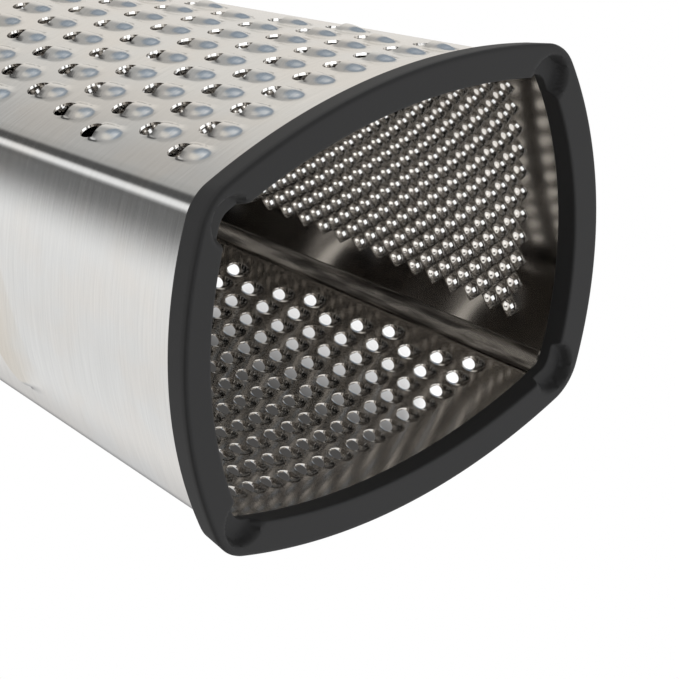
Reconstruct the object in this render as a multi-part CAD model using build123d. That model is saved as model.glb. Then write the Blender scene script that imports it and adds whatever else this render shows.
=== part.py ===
from build123d import *
import math
import os
from dataclasses import dataclass

# A box grater that stands on its silicone foot.
# +Z is up, the coarse teeth face -Y, the medium teeth +Y, the fine teeth +X and the slicing slots -X.
# The origin is the centre of the foot's underside. All lengths are millimetres and all turns degrees.

# Silicone foot
foot_width = 110.0
foot_depth = 87.4
foot_side_bow = 5.5
foot_face_bow = 6.0
foot_corner = 10.0
foot_height = 6.2
foot_lean = 1.1
foot_land = 6.5
foot_lip_height = 4.6
foot_floor = 3.0
foot_slack = 0.05
scoop_radius = 5.0
scoop_depth = 2.2

# Steel body: one sheet wrapped round four corners and lapped at the back right one
body_inset = 3.1
body_top = 184.0
body_top_width = 59.6
body_top_depth = 41.8
body_top_corner = 4.4
sheet = 0.7
lap_foot_width = 9.3
lap_top_width = 4.6
lap_rise = 6.5

# The bowed walls and round corners of the steel are made of narrow flats, so the teeth have simple edges
wall_flats = 12
corner_flats = 5

# Teeth, each a raised hood below a hole, with the cutting edge between them facing the handle
teeth_top = 168.0
hood_sheet = 0.5
coarse_first = 15.3
coarse_rise = 11.68
coarse_pitch = 8.06
coarse_margin = 13.4
coarse_width = 5.2
coarse_hood = 5.5
coarse_height = 1.0
coarse_hole_width = 4.5
coarse_hole = 4.6
medium_first = 14.4
medium_rise = 6.45
medium_pitch = 4.66
medium_margin = 12.3
medium_width = 3.7
medium_hood = 3.1
medium_height = 0.8
medium_hole_width = 2.8
medium_hole = 2.0
fine_first = 15.2
fine_rise = 2.31
fine_margin = 15.6
fine_columns = 11
fine_least_pitch = 3.25
fine_slack = 0.01
fine_width = 2.6
fine_height = 0.7
fine_hole_width = 1.0
fine_hole = 0.9

# Slicing slots, three long hoods that climb to the left
slicer_count = 3
slicer_first = 67.4
slicer_rise = 33.0
slicer_slope = 20.0
slicer_margin = 12.8
slicer_ramp = 8.0
slicer_height = 1.9
slicer_gap = 2.4

# Cap and its rivets
cap_wall = 2.4
cap_skirt = 9.0
cap_slack = 0.1
cap_rise = 7.0
cap_ceiling = 3.0
cap_edge_radius = 3.0
cap_inner_step = 3.0
rivet_spread = 30.0
rivet_below_edge = 4.5
rivet_shank = 3.2
rivet_slack = 0.05
rivet_head = 7.0
rivet_head_rise = 1.5
rivet_seat_depth = 0.5
rivet_tail = 5.4
rivet_seat_margin = 0.4
rivet_tail_rise = 1.0

# Bow handle with its soft grip and screws
handle_foot_spread = 32.0
handle_neck_rise = 9.0
handle_shoulder_spread = 94.0
handle_shoulder_rise = 23.0
handle_top_spread = 80.0
handle_rise = 47.0
handle_neck_bend = 6.0
handle_bend = 13.0
handle_thick = 9.0
handle_deep = 15.0
handle_edge_radius = 4.0
pad_length = 22.0
pad_width = 19.0
pad_rise = 3.0
grip_wall = 2.6
grip_slack = 0.05
grip_edge_radius = 6.0
screw_shank = 3.8
screw_length = 11.0
screw_head = 7.6
screw_head_rise = 2.4
screw_slack = 0.05
boss_wall = 2.2

# One overrun serves every cut
overrun = 2.0


def sin(turn):
    return math.sin(math.radians(turn))


def cos(turn):
    return math.cos(math.radians(turn))


def tan(turn):
    return math.tan(math.radians(turn))


def bow_turn(bow, chord):
    """Angle from the middle of a bowed side to its end, for the bow's rise and half its chord."""
    return 2 * math.degrees(math.atan2(bow, chord))


SIDE_TURN = bow_turn(foot_side_bow, foot_depth / 2 - foot_corner - foot_face_bow)
FACE_TURN = bow_turn(foot_face_bow, foot_width / 2 - foot_corner - foot_side_bow)
RIGHT, BACK, LEFT, FRONT = 0, 90, 180, 270


@dataclass
class Outline:
    """Rounded rectangle at one height whose four sides swell outwards."""

    width: float
    depth: float
    corner: float
    height: float

    def inset(self, distance, height=None):
        """The same outline moved inwards, at its own height or another."""
        level = self.height if height is None else height
        return Outline(self.width - 2 * distance, self.depth - 2 * distance, self.corner - distance, level)

    def corner_centre(self):
        """Centre of the corner arc in the +X +Y quarter."""
        reach_x, reach_y = self.width / 2 - self.corner, self.depth / 2 - self.corner
        side, face = tan(SIDE_TURN / 2), tan(FACE_TURN / 2)
        share = 1 - side * face
        return (reach_x - side * reach_y) / share, (reach_y - face * reach_x) / share

    def wall_arc(self, facing):
        """Reach of a wall's arc centre along its facing, the arc's radius and its half turn."""
        x, y = self.corner_centre()
        if facing in (RIGHT, LEFT):
            reach, chord, turn = self.width / 2, y, SIDE_TURN
        else:
            reach, chord, turn = self.depth / 2, x, FACE_TURN
        radius = chord / sin(turn) + self.corner
        return reach - radius, radius, turn

    def arcs(self):
        """Centre, radius, start and end of the eight arcs, walls and corners by turns."""
        x, y = self.corner_centre()
        found = []
        for facing in (RIGHT, BACK, LEFT, FRONT):
            out, radius, turn = self.wall_arc(facing)
            found.append(((out * cos(facing), out * sin(facing)), radius, facing - turn, facing + turn))
            centre = (x if facing in (RIGHT, FRONT) else -x, y if facing in (RIGHT, BACK) else -y)
            next_turn = FACE_TURN if facing in (RIGHT, LEFT) else SIDE_TURN
            found.append((centre, self.corner, facing + turn, facing + 90 - next_turn))
        return found

    def at(self, arc, share):
        """Point at a share of the way along one of the arcs."""
        centre, radius, start, end = arc
        turn = start + share * (end - start)
        return (centre[0] + radius * cos(turn), centre[1] + radius * sin(turn), self.height)

    def wire(self):
        """Smooth outline of eight arcs."""
        arcs = self.arcs()
        return Wire([ThreePointArc(*[self.at(arc, share) for share in (0, 0.5, 1)]).edge() for arc in arcs])

    def points(self):
        """Corners of the outline made of flats."""
        found = []
        for number, arc in enumerate(self.arcs()):
            flats = corner_flats if number % 2 else wall_flats
            found += [self.at(arc, step / flats) for step in range(flats)]
        return found


FOOT_OUTLINE = Outline(foot_width, foot_depth, foot_corner, 0)
BODY_FOOT = FOOT_OUTLINE.inset(body_inset)
BODY_TOP = Outline(body_top_width, body_top_depth, body_top_corner, body_top)


def between(foot, top, height):
    """Size at a height of something that runs straight from the foot's plane to the body's top edge."""
    return foot + (top - foot) * height / body_top


def body_outline(height):
    """Outer outline of the steel at a height."""
    width = between(BODY_FOOT.width, BODY_TOP.width, height)
    depth = between(BODY_FOOT.depth, BODY_TOP.depth, height)
    corner = between(BODY_FOOT.corner, BODY_TOP.corner, height)
    return Outline(width, depth, corner, height)


def frustum(low, high):
    """Solid with flat sides between two like polygons."""
    count = len(low)
    rings = [[low[n], low[(n + 1) % count], high[(n + 1) % count], high[n]] for n in range(count)]
    faces = [Face(Wire.make_polygon(ring, close=True)) for ring in [*rings, low, high]]
    return Solid(Shell(faces))


def tower(low, high, inset=0.0):
    """The body's outline between two heights, moved inwards by inset and filled."""
    return frustum(*[body_outline(height).inset(inset).points() for height in (low, high)])


def drum(low, high):
    """Solid between two smooth outlines."""
    return Solid.make_loft([low.wire(), high.wire()], ruled=True)


def wall_reach(facing, height):
    """Half the body's width across a wall at a height."""
    outline = body_outline(height)
    return (outline.depth if facing in (RIGHT, LEFT) else outline.width) / 2


def wall_spot(facing, across, height):
    """Plane on the steel's outer skin: x across the wall, y up it and z outwards."""
    out, radius, _ = body_outline(height).wall_arc(facing)
    top_out, top_radius, _ = BODY_TOP.wall_arc(facing)
    foot_out, foot_radius, _ = BODY_FOOT.wall_arc(facing)
    turn = math.degrees(math.asin(across / radius))
    outwards = Vector(cos(turn), sin(turn), 0)
    climb = Vector(top_out - foot_out, 0, body_top) + outwards * (top_radius - foot_radius)
    along = Vector(-sin(turn), cos(turn), 0)
    origin = Vector(out, 0, height) + outwards * radius
    origin, along, normal = [arrow.rotate(Axis.Z, facing) for arrow in (origin, along, along.cross(climb))]
    return Plane(origin=origin, x_dir=along, z_dir=normal)


def wall_location(facing, across, height):
    return Location(wall_spot(facing, across, height))


def block(x, y, z):
    """Box between three pairs of limits."""
    return Solid.make_box(x[1] - x[0], y[1] - y[0], z[1] - z[0]).moved(Location((x[0], y[0], z[0])))


def disc(radius, low, high, x=0.0, y=0.0):
    """Upright cylinder between two heights."""
    return Solid.make_cylinder(radius, high - low).moved(Location((x, y, low)))


def joined(shape):
    """The one solid in the result of a boolean step."""
    return shape.solids()[0]


# Steel body


def blank_sheet():
    """The wrapped sheet with its lap, before the teeth are pressed."""
    wall = joined(tower(foot_floor, body_top) - tower(foot_floor - overrun, body_top + overrun, sheet))
    low, high = foot_height + lap_rise, body_top - cap_skirt
    lining = joined(tower(low, high, sheet / 2) - tower(low - overrun, high + overrun, 2 * sheet))
    ends = []
    for height in (low - overrun, high + overrun):
        outline = body_outline(height)
        free_edge = outline.width / 2 - between(lap_foot_width, lap_top_width, height)
        inner_y = outline.corner_centre()[1]
        ends.append([(x, y, height) for x, y in rectangle(free_edge, outline.width, inner_y, outline.depth)])
    return joined(wall + joined(lining & frustum(*ends)))


def rectangle(x_low, x_high, y_low, y_high):
    return [(x_low, y_low), (x_high, y_low), (x_high, y_high), (x_low, y_high)]


# Profile of a hood from its cutting edge to where its tail runs into the sheet: shares of length and of rise
HOOD_PROFILE_SHARES = ((0, 1), (0.55, 0.76), (0.86, 0.4), (1.08, -0.23))
# A small hood has one flat ridge: shares of half its width and of its rise at the cutting edge
RIDGE_WIDTH_SHARE = 0.5


def round_hood(width, length, rise, shrink, root):
    """Half a dome that bulges along +z below the cutting face at y = 0 and is cut flat at z = root."""
    sink = ((width / 2) ** 2 - rise**2) / (2 * rise)
    radius, tail = rise + sink - shrink, length - shrink
    outline = [(0, -tail * along, sink + (radius - sink) * up) for along, up in HOOD_PROFILE_SHARES]
    face = Face(Wire.make_polygon([(0, 0, 0), *outline, (0, outline[-1][1], 0)], close=True))
    whole = revolve(face, Axis((0, 0, 0), (0, 1, 0)), 360).moved(Location((0, 0, -sink)))
    return joined(whole & block((-width, width), (-2 * length, 0), (root, 2 * rise)))


def pointed_hood(width, length, rise, shrink, root):
    """A small hood of three flats that run from the cutting face at y = 0 to a point."""
    half, top, tail = width / 2 - shrink, rise - shrink, length - shrink
    ridge = half * RIDGE_WIDTH_SHARE
    face = [(-half, 0, root), (-half, 0, 0), (-ridge, 0, top), (ridge, 0, top), (half, 0, 0), (half, 0, root)]
    point = (0, -tail, 0)
    root_point = (0, -tail, root)
    sides = [
        [face[1], face[2], point],
        [face[2], face[3], point],
        [face[3], face[4], point],
        [face[0], face[1], point, root_point],
        [face[4], face[5], root_point, point],
        [face[0], face[5], root_point],
        face,
    ]
    return Solid(Shell([Face(Wire.make_polygon(side, close=True)) for side in sides]))


def arched_hole(width, length):
    """Cutter for a hole with a straight edge at y = 0 and a round end."""
    side = length - width / 2
    edges = [
        Line((-width / 2, side), (-width / 2, 0)).edge(),
        Line((-width / 2, 0), (width / 2, 0)).edge(),
        Line((width / 2, 0), (width / 2, side)).edge(),
        ThreePointArc((width / 2, side), (0, length), (-width / 2, side)).edge(),
    ]
    return Solid.extrude(Face(Wire(edges)), Vector(0, 0, 2 * overrun)).moved(Location((0, 0, -overrun)))


def square_hole(width, length):
    """Cutter for a hole with straight sides above y = 0."""
    return block((-width / 2, width / 2), (0, length), (-overrun, overrun))


def even_rows(facing, first, rise, pitch, margin):
    """Rows at one pitch, every other one shifted by half of it, each as long as the wall takes."""
    spots = []
    height, row = first, 0
    while height <= teeth_top:
        shift = pitch / 2 if row % 2 else 0
        room = wall_reach(facing, height) - margin
        last = int((room - shift) / pitch)
        offsets = sorted({side * (shift + step * pitch) for step in range(last + 1) for side in (-1, 1)})
        spots += [(offset, height) for offset in offsets]
        height, row = height + rise, row + 1
    return spots


def narrowing_rows():
    """Rows of fine teeth whose pitch shrinks with the wall, and that lose their outer teeth at its least."""
    spots = []
    height, row = fine_first, 0
    while height <= teeth_top:
        room = 2 * (wall_reach(RIGHT, height) - fine_margin)
        pitch = max(room / (fine_columns - 1), fine_least_pitch)
        count = fine_columns - row % 2
        across = [(step - (count - 1) / 2) * pitch for step in range(count)]
        spots += [(step, height) for step in across if abs(step) <= (room + fine_slack) / 2]
        height, row = height + fine_rise, row + 1
    return spots


def press(body, facing, spots, hood, cutter):
    """Raises a hood and opens a hole at every spot of one wall."""
    places = [wall_location(facing, across, height) for across, height in spots]
    raised = body.fuse(*[hood.moved(place) for place in places])
    return raised.cut(*[cutter.moved(place) for place in places])


def press_coarse(body):
    root = -sheet / 2
    sizes = (coarse_width, coarse_hood, coarse_height)
    cutter = joined(round_hood(*sizes, hood_sheet, -overrun) + arched_hole(coarse_hole_width, coarse_hole))
    spots = even_rows(FRONT, coarse_first + coarse_hood, coarse_rise, coarse_pitch, coarse_margin)
    return press(body, FRONT, spots, round_hood(*sizes, 0, root), cutter)


def press_medium(body):
    root = -sheet / 2
    sizes = (medium_width, medium_hood, medium_height)
    cutter = joined(pointed_hood(*sizes, hood_sheet, -overrun) + square_hole(medium_hole_width, medium_hole))
    spots = even_rows(BACK, medium_first + medium_hood, medium_rise, medium_pitch, medium_margin)
    return press(body, BACK, spots, pointed_hood(*sizes, 0, root), cutter)


def press_fine(body):
    root = -sheet / 2
    spike = Solid.make_cone(fine_width / 2, fine_hole_width / 2, fine_height - root)
    spike = spike.moved(Location((0, 0, root)))
    return press(body, RIGHT, narrowing_rows(), spike, disc(fine_hole / 2, -overrun, overrun))


def slicer_arc(height):
    """Axis and turn of the arc on which a slicing edge follows the left wall, and the edge's start."""
    half = wall_reach(LEFT, height) - slicer_margin
    steps = [step * half for step in (-1, 0, 1)]
    spots = [wall_spot(LEFT, step, height + step * tan(slicer_slope)).origin for step in steps]
    arc = ThreePointArc(*spots).edge()
    centre = arc.arc_center
    lines = [spot - centre for spot in (spots[0], spots[2])]
    normal = lines[0].cross(lines[1]).normalized()
    return centre, normal, lines[0].get_angle(lines[1]), spots[0]


def along_slicer(height, profile, trim):
    """Carries a profile of (up the wall, outwards) points along a slicing edge, short of its ends by trim."""
    centre, normal, turn, start = slicer_arc(height)
    up = normal if normal.Z > 0 else normal * -1
    out = (start - centre).normalized()
    points = [start + up * rise + out * reach for rise, reach in profile]
    end_turn = math.degrees(trim / (start - centre).length)
    axis = Axis(centre, normal)
    face = Face(Wire.make_polygon(points, close=True)).rotate(axis, end_turn)
    return joined(revolve(face, axis, turn - 2 * end_turn))


def press_slicers(body):
    """Three long ramps, each with a slot above its raised cutting edge."""
    for number in range(slicer_count):
        height = slicer_first + number * slicer_rise
        root = -sheet / 2
        ramp = [(0, root), (0, slicer_height), (-slicer_ramp, 0), (-slicer_ramp, root)]
        under = [
            (slicer_gap, -overrun),
            (slicer_gap, slicer_height + overrun),
            (0, slicer_height + overrun),
            (0, slicer_height - hood_sheet),
            (-slicer_ramp + hood_sheet, -hood_sheet),
            (-slicer_ramp + hood_sheet, -overrun),
        ]
        body = joined(body + along_slicer(height, ramp, 0)) - along_slicer(height, under, hood_sheet)
    return joined(body)


def grater_body():
    body = blank_sheet()
    body = press_slicers(body)
    body = press_coarse(body)
    body = press_medium(body)
    body = press_fine(body)
    for place in rivet_places().values():
        body -= rivet_hole().moved(place)
    return joined(body)


# Foot


def foot_ring():
    """Silicone ring with a groove that takes the steel's lower edge and a scoop at each inner corner."""
    ring = drum(FOOT_OUTLINE, FOOT_OUTLINE.inset(foot_lean, foot_height))
    opening = FOOT_OUTLINE.inset(foot_land)
    ring -= drum(opening.inset(0, -overrun), opening.inset(0, foot_height + overrun))
    top = foot_height + overrun
    ring -= tower(foot_lip_height, top, sheet)
    outer, inner = tower(foot_floor, top, -foot_slack), tower(foot_floor - overrun, top, sheet + foot_slack)
    ring -= joined(outer - inner)
    corner_x, corner_y = [place + opening.corner * cos(45) for place in opening.corner_centre()]
    for x, y in rectangle(-corner_x, corner_x, -corner_y, corner_y):
        ring -= disc(scoop_radius, -overrun, scoop_depth, x, y)
    return joined(ring)


# Cap, rivets, handle, grip and screws


def cap_top():
    return body_top + cap_rise


def rivet_places():
    """Names and places of the four rivets, each in the frame of the wall that it goes through."""
    height = body_top - rivet_below_edge
    return {
        "front_left": wall_location(FRONT, -rivet_spread / 2, height),
        "front_right": wall_location(FRONT, rivet_spread / 2, height),
        "back_left": wall_location(BACK, rivet_spread / 2, height),
        "back_right": wall_location(BACK, -rivet_spread / 2, height),
    }


def rivet_hole():
    return disc(rivet_shank / 2 + rivet_slack, -sheet - overrun, cap_wall + overrun)


def rivet_seat():
    """Flat pocket in the skirt under a rivet's head."""
    return disc(rivet_head / 2 + rivet_seat_margin, cap_wall - rivet_seat_depth, cap_wall + overrun)


def rivet():
    """Domed head in its seat, shank through the skirt and the sheet, and the tail spread inside."""
    seat = cap_wall - rivet_seat_depth
    ball = (rivet_head**2 / 4 + rivet_head_rise**2) / (2 * rivet_head_rise)
    dome = Solid.make_sphere(ball).moved(Location((0, 0, seat + rivet_head_rise - ball)))
    head = joined(dome & disc(rivet_head, seat, seat + rivet_head_rise + overrun))
    inside = -sheet - rivet_slack
    tail = disc(rivet_tail / 2, inside - rivet_tail_rise, inside)
    return joined(head + disc(rivet_shank / 2, inside, seat) + tail)


def screw_sides():
    """Names and X places of the two handle screws."""
    return {"left": -handle_foot_spread / 2, "right": handle_foot_spread / 2}


def top_cap():
    """Moulded cap whose skirt goes over the steel's top edge."""
    low, ceiling = body_top - cap_skirt, cap_top() - cap_ceiling
    shell = drum(body_outline(low).inset(-cap_wall), body_outline(cap_top()).inset(-cap_wall))
    rim = [edge for edge in shell.edges() if edge.bounding_box().min.Z > ceiling]
    shell = shell.fillet(cap_edge_radius, rim)
    shell -= tower(low - overrun, body_top, -cap_slack)
    shell -= tower(body_top - overrun, ceiling, cap_inner_step)
    for x in screw_sides().values():
        shell += disc(screw_head / 2 + boss_wall, body_top, ceiling, x)
        shell -= disc(screw_head / 2 + screw_slack, body_top - overrun, ceiling, x)
        shell -= disc(screw_shank / 2 + screw_slack, body_top, cap_top() + overrun, x)
    for place in rivet_places().values():
        shell -= rivet_seat().moved(place)
        shell -= rivet_hole().moved(place)
    return joined(shell)


def bow_points():
    """Corners of the handle's centre line from its left foot to its right one, in X and Z."""
    top = cap_top() + handle_rise - handle_thick / 2
    left = [
        (-handle_foot_spread / 2, cap_top() + pad_rise / 2),
        (-handle_foot_spread / 2, cap_top() + handle_neck_rise),
        (-handle_shoulder_spread / 2, cap_top() + handle_shoulder_rise),
        (-handle_top_spread / 2, top),
    ]
    return left + [(-x, z) for x, z in reversed(left)]


def bow(points, bends, thick, deep, radius):
    """Rounded bar along a line of straight runs and bends in the XZ plane."""
    path = FilletPolyline(*[(x, 0, z) for x, z in points], radius=bends)
    start = Plane(origin=path @ 0, x_dir=(0, 1, 0), z_dir=path % 0)
    return joined(sweep(start * RectangleRounded(deep, thick, radius), path=path))


def handle_bar(extra=0.0):
    bends = [handle_neck_bend, handle_bend, handle_bend, handle_bend, handle_bend, handle_neck_bend]
    sizes = (handle_thick + 2 * extra, handle_deep + 2 * extra, handle_edge_radius + extra)
    return bow(bow_points(), bends, *sizes)


def handle_frame():
    """Rigid bow with a flat pad under each foot."""
    frame = handle_bar()
    for x in screw_sides().values():
        pad = extrude(RectangleRounded(pad_length, pad_width, pad_width / 3), pad_rise)
        frame += pad.moved(Location((x, 0, cap_top())))
        tip = cap_top() - cap_ceiling + screw_length + screw_slack
        frame -= disc(screw_shank / 2 + screw_slack, cap_top() - overrun, tip, x)
    return joined(frame)


# The grip starts at this share of the run between the shoulder and the top
GRIP_START_SHARE = 0.51


def handle_grip():
    """Soft sleeve over the top of the bow and its upper bends."""
    corners = bow_points()
    shoulder, top = corners[2], corners[3]
    start = tuple(low + GRIP_START_SHARE * (high - low) for low, high in zip(shoulder, top))
    points = [start, top, (-top[0], top[1]), (-start[0], start[1])]
    sizes = (handle_thick + 2 * grip_wall, handle_deep + 2 * grip_wall, grip_edge_radius)
    return joined(bow(points, [handle_bend, handle_bend], *sizes) - handle_bar(grip_slack))


def handle_screw():
    """Pan head under the cap's ceiling and shank up into the handle's foot."""
    seat = cap_top() - cap_ceiling
    return joined(
        disc(screw_head / 2, seat - screw_head_rise, seat) + disc(screw_shank / 2, seat, seat + screw_length)
    )


def parts():
    found = {
        "grater_body": grater_body(),
        "foot_ring": foot_ring(),
        "top_cap": top_cap(),
        "handle_frame": handle_frame(),
        "handle_grip": handle_grip(),
    }
    for name, place in rivet_places().items():
        found[f"cap_rivet_{name}"] = rivet().moved(place)
    for name, x in screw_sides().items():
        found[f"handle_screw_{name}"] = handle_screw().moved(Location((x, 0, 0)))
    return found


os.makedirs("parts", exist_ok=True)
for node, solid in parts().items():
    solid.label = node
    export_step(solid, f"parts/{node}.step", write_pcurves=False)
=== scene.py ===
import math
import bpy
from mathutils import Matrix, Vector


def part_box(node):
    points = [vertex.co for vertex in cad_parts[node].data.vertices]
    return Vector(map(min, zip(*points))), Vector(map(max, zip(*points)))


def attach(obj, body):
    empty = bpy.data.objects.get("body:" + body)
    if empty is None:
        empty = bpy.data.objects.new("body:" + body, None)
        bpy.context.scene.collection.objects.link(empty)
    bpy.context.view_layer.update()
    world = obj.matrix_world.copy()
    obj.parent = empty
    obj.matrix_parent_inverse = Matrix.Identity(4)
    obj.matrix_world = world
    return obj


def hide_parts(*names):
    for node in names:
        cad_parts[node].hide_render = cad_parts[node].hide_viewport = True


bl_info = {
    "name": "Box grater",
    "version": (1, 0, 0),
    "blender": (4, 5, 0),
    "location": "View3D > Sidebar > Grater",
    "description": "Dresses a box grater: toothed steel walls, silicone foot, cap, handle and studio",
    "category": "Object",
}

import bmesh
import bpy
from bpy.props import FloatProperty, FloatVectorProperty, IntProperty, PointerProperty
from mathutils import Matrix, Vector

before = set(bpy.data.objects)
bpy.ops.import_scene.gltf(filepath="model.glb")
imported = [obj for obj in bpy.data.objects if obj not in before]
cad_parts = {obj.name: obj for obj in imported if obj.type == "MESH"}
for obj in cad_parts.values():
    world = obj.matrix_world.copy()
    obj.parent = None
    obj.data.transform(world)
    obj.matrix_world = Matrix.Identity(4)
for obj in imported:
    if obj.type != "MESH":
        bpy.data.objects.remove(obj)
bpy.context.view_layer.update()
boxes = {name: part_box(name) for name in ("grater_body", "foot_ring", "top_cap")}

MM = 0.001
RIGHT, BACK, LEFT, FRONT = 0, 90, 180, 270
WELD = 1e-6


def length(name, millimetres, description):
    size = millimetres * MM
    return FloatProperty(name=name, description=description, default=size, subtype="DISTANCE", precision=5)


def share(name, value, description):
    return FloatProperty(name=name, description=description, default=value, min=0, max=1, subtype="FACTOR")


def turn(name, degrees, description):
    return FloatProperty(name=name, description=description, default=math.radians(degrees), subtype="ANGLE")


def real(name, value, description):
    return FloatProperty(name=name, description=description, default=value)


def number(name, value, description):
    return IntProperty(name=name, description=description, default=value)


def triple(name, value, description):
    return FloatVectorProperty(name=name, description=description, default=value)


def colour(name, value, description):
    return FloatVectorProperty(
        name=name, description=description, default=value, min=0, max=1, subtype="COLOR"
    )


class BodyShape(bpy.types.PropertyGroup):
    side_bow: length("Side bow", 5.5, "Rise of the foot's left and right sides")
    face_bow: length("Face bow", 6.0, "Rise of the foot's front and back sides")
    foot_corner: length("Foot corner", 10.0, "Corner radius of the foot")
    inset: length("Steel inset", 3.1, "Distance from the foot's outline to the steel's outer skin")
    top_width: length("Top width", 59.6, "Width of the steel at its top edge")
    top_depth: length("Top depth", 41.8, "Depth of the steel at its top edge")
    top_corner: length("Top corner", 4.4, "Corner radius of the steel at its top edge")
    sheet: length("Sheet", 0.5, "Thickness of the steel")
    seam_share: share("Wall share", 0.99, "How much of each bowed side belongs to its wall piece")
    teeth_top: length("Teeth top", 168.0, "Height above which no tooth is pressed")
    lap_foot: turn("Lap at the foot", 66.0, "Turn of the corner that the seam's lap covers at the foot")
    lap_top: turn("Lap at the top", 52.0, "Turn of the corner that the seam's lap covers at the top")
    lap_gap: length("Lap gap", 0.03, "Gap between the two layers of the lap")


class CoarseTeeth(bpy.types.PropertyGroup):
    first: length("First edge", 20.8, "Height of the lowest cutting edges")
    rise: length("Rise", 11.68, "Distance between rows")
    pitch: length("Pitch", 8.06, "Distance between teeth in a row")
    margin: length("Margin", 13.4, "Least distance from a tooth to the wall's widest point")
    width: length("Hood width", 5.7, "Width of a hood at its cutting edge")
    hood: length("Hood length", 5.5, "Length of a hood")
    height: length("Hood height", 1.15, "Rise of a cutting edge")
    hole_width: length("Hole width", 4.5, "Width of a hole")
    hole: length("Hole length", 4.6, "Length of a hole")
    above: length("Above the edge", 4.6, "Length of a tooth above its cutting edge")
    flank: length("Flank", 2.2, "Length over which a hood's flanks run out beside the hole")
    steps_across: number("Steps across", 10, "Edges along one tile")
    steps_up: number("Steps up", 12, "Edges up one tile")
    rings: number("Rings", 7, "Rings of faces round one hole")


class MediumTeeth(bpy.types.PropertyGroup):
    first: length("First edge", 17.5, "Height of the lowest cutting edges")
    rise: length("Rise", 6.45, "Distance between rows")
    pitch: length("Pitch", 4.66, "Distance between teeth in a row")
    margin: length("Margin", 12.3, "Least distance from a tooth to the wall's widest point")
    width: length("Bowl width", 3.9, "Width of a bowl")
    hood: length("Bowl length", 3.2, "Length of a bowl below its cutting edge")
    above: length("Above the edge", 2.1, "Length of a bowl above its cutting edge")
    height: length("Bowl depth", 1.25, "Depth of a bowl")
    hole_width: length("Hole width", 2.3, "Width of a hole")
    hole: length("Hole length", 2.35, "Length of a hole")
    hole_land: length("Hole land", 0.12, "Distance from a hole to the bowl's upper end")
    steps_across: number("Steps across", 5, "Edges along one tile")
    steps_up: number("Steps up", 6, "Edges up one tile")


class FineTeeth(bpy.types.PropertyGroup):
    first: length("First row", 15.2, "Height of the lowest teeth")
    rise: length("Rise", 2.31, "Distance between rows")
    margin: length("Margin", 15.6, "Distance from the outer teeth to the wall's widest point")
    least_pitch: length("Least pitch", 3.25, "Pitch at which the columns stop closing up")
    columns: number("Columns", 11, "Teeth in the lowest row")
    dome_share: share("Dome share", 0.93, "Radius of a dome as a share of its cell's inner radius")
    height: length("Dome height", 0.75, "Rise of a tooth")
    hole: length("Hole", 0.9, "Width of a tooth's hole")
    steps: number("Steps", 4, "Edges along one side of a cell")


class Slicers(bpy.types.PropertyGroup):
    count: number("Slots", 3, "Number of slicing slots")
    first: length("First slot", 67.4, "Height of the middle of the lowest cutting edge")
    rise: length("Rise", 33.0, "Distance between slots")
    slope: turn("Slope", 20.0, "Climb of the slots")
    margin: length("Margin", 12.0, "Distance from a cutting edge's end to the wall's widest point")
    ramp: length("Ramp", 9.0, "Length of the ramp below a cutting edge")
    hook: length("Hook", 1.8, "How far a slot's ends turn down round the ramp")
    height: length("Edge height", 1.9, "Rise of a cutting edge")
    gap: length("Gap", 2.4, "Width of a slot")
    cell: length("Cell", 1.6, "Size of the mesh cells")
    rings: number("Rings", 5, "Rings of faces round one slot")


class FootShape(bpy.types.PropertyGroup):
    lean: length("Lean", 1.1, "How far the foot's outer face leans in at its top")
    land: length("Land", 6.5, "Width of the foot's underside")
    lip_height: length("Lip height", 4.6, "Height of the lip inside the steel")
    floor: length("Groove floor", 3.0, "Height of the groove's floor")
    slack: length("Slack", 0.05, "Gap between the groove and the steel")
    edge: length("Edge radius", 0.7, "Radius of the outer edges")
    scoop: length("Scoop radius", 5.0, "Radius of the scoops")
    scoop_depth: length("Scoop depth", 2.2, "Depth of the scoops")
    scoop_wall: length("Scoop wall", 1.1, "Width of the sloping wall round a scoop")
    steps_side: number("Side steps", 110, "Edges along one side")
    steps_corner: number("Corner steps", 20, "Edges round one corner")


class Finishes(bpy.types.PropertyGroup):
    steel: colour("Steel", (0.78, 0.772, 0.758), "Polished sheet outside")
    # Steel inside: the same sheet, darkened and warmed as painted shade for the grater's inside
    shaded_steel_inside: colour("Steel inside", (0.43, 0.41, 0.385), "Sheet inside")
    silicone: colour("Silicone", (0.026, 0.026, 0.0265), "Foot ring")
    plastic: colour("Plastic", (0.036, 0.036, 0.038), "Cap and handle")
    grip: colour("Grip", (0.028, 0.028, 0.03), "Soft grip")


class Studio(bpy.types.PropertyGroup):
    camera_place: triple("Camera", (-0.61491, -0.41137, -0.60445), "Camera's place")
    camera_ahead: triple("Ahead", (0.63314, 0.43718, 0.63876), "Way the camera looks")
    camera_down: triple("Down", (-0.3317, 0.89885, -0.28642), "Picture's way down")
    lens: real("Lens", 273.5, "Focal length in millimetres")
    shift_x: real("Shift X", -0.0012, "Sideways shift of the frame")
    shift_y: real("Shift Y", -0.0032, "Upward shift of the frame")
    floor_size: length("Floor", 6000.0, "Size of the floor")
    floor_colour: colour("Floor colour", (0.86, 0.86, 0.86), "Pale floor")


GROUPS = {
    "grater_body": BodyShape,
    "grater_coarse": CoarseTeeth,
    "grater_medium": MediumTeeth,
    "grater_fine": FineTeeth,
    "grater_slicers": Slicers,
    "grater_foot": FootShape,
    "grater_finishes": Finishes,
    "grater_studio": Studio,
}


def mix(start, end, part):
    return start + (end - start) * part


def clamp(value):
    return min(max(value, 0.0), 1.0)


def smooth(value):
    """Smooth step from 0 to 1."""
    value = clamp(value)
    return value * value * (3 - 2 * value)


# Shape of the steel and of the foot


def bow_turn(bow, chord):
    """Angle from the middle of a bowed side to its end, for the bow's rise and half its chord."""
    return 2 * math.atan2(bow, chord)


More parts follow.
